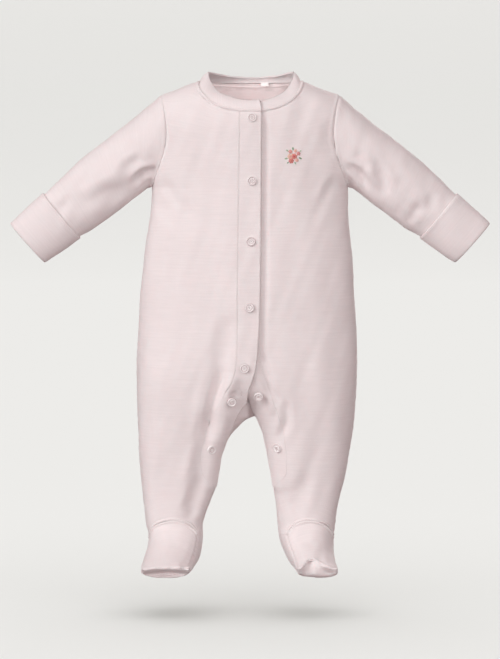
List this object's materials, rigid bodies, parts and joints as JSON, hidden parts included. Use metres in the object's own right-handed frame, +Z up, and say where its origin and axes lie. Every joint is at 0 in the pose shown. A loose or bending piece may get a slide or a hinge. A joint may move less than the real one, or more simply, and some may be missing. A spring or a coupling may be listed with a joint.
{
  "type": "footed baby sleepsuit",
  "caption": "Long-sleeved footed baby sleepsuit with open neck and cuffs and a snap closing down the front and both inner legs, filled out with no wearer inside.",
  "frame": {"origin": "on the body's middle, at the level of the neck's sides, where a wearer's shoulders carry the garment", "axes": "+X to the wearer's left, +Y to the wearer's back, +Z up; the front faces -Y"},
  "size_m": [0.5156, 0.1222, 0.5403],
  "materials": {
    "cloth": "soft cotton knit, pale dusty pink",
    "ribbing": "soft cotton knit of the neckband and cuffs, pale dusty pink",
    "snap": "pearly pale pink",
    "tab": "plain white woven tape"
  },
  "bodies": {
    "root": {"back": "cloth", "front_right": "cloth", "front_left": "cloth", "placket_right": "cloth", "placket_left": "cloth", "sleeve_right": "cloth", "sleeve_left": "cloth", "cuff_right": "ribbing", "cuff_left": "ribbing", "neckband": "ribbing", "vamp_right": "cloth", "vamp_left": "cloth", "sole_right": "cloth", "sole_left": "cloth", "snap_front_1": "snap", "snap_front_2": "snap", "snap_front_3": "snap", "snap_front_4": "snap", "snap_front_5": "snap", "snap_inseam_right_1": "snap", "snap_inseam_right_2": "snap", "snap_inseam_left_1": "snap", "snap_inseam_left_2": "snap", "neck_label": "tab"}
  },
  "joints": []
}
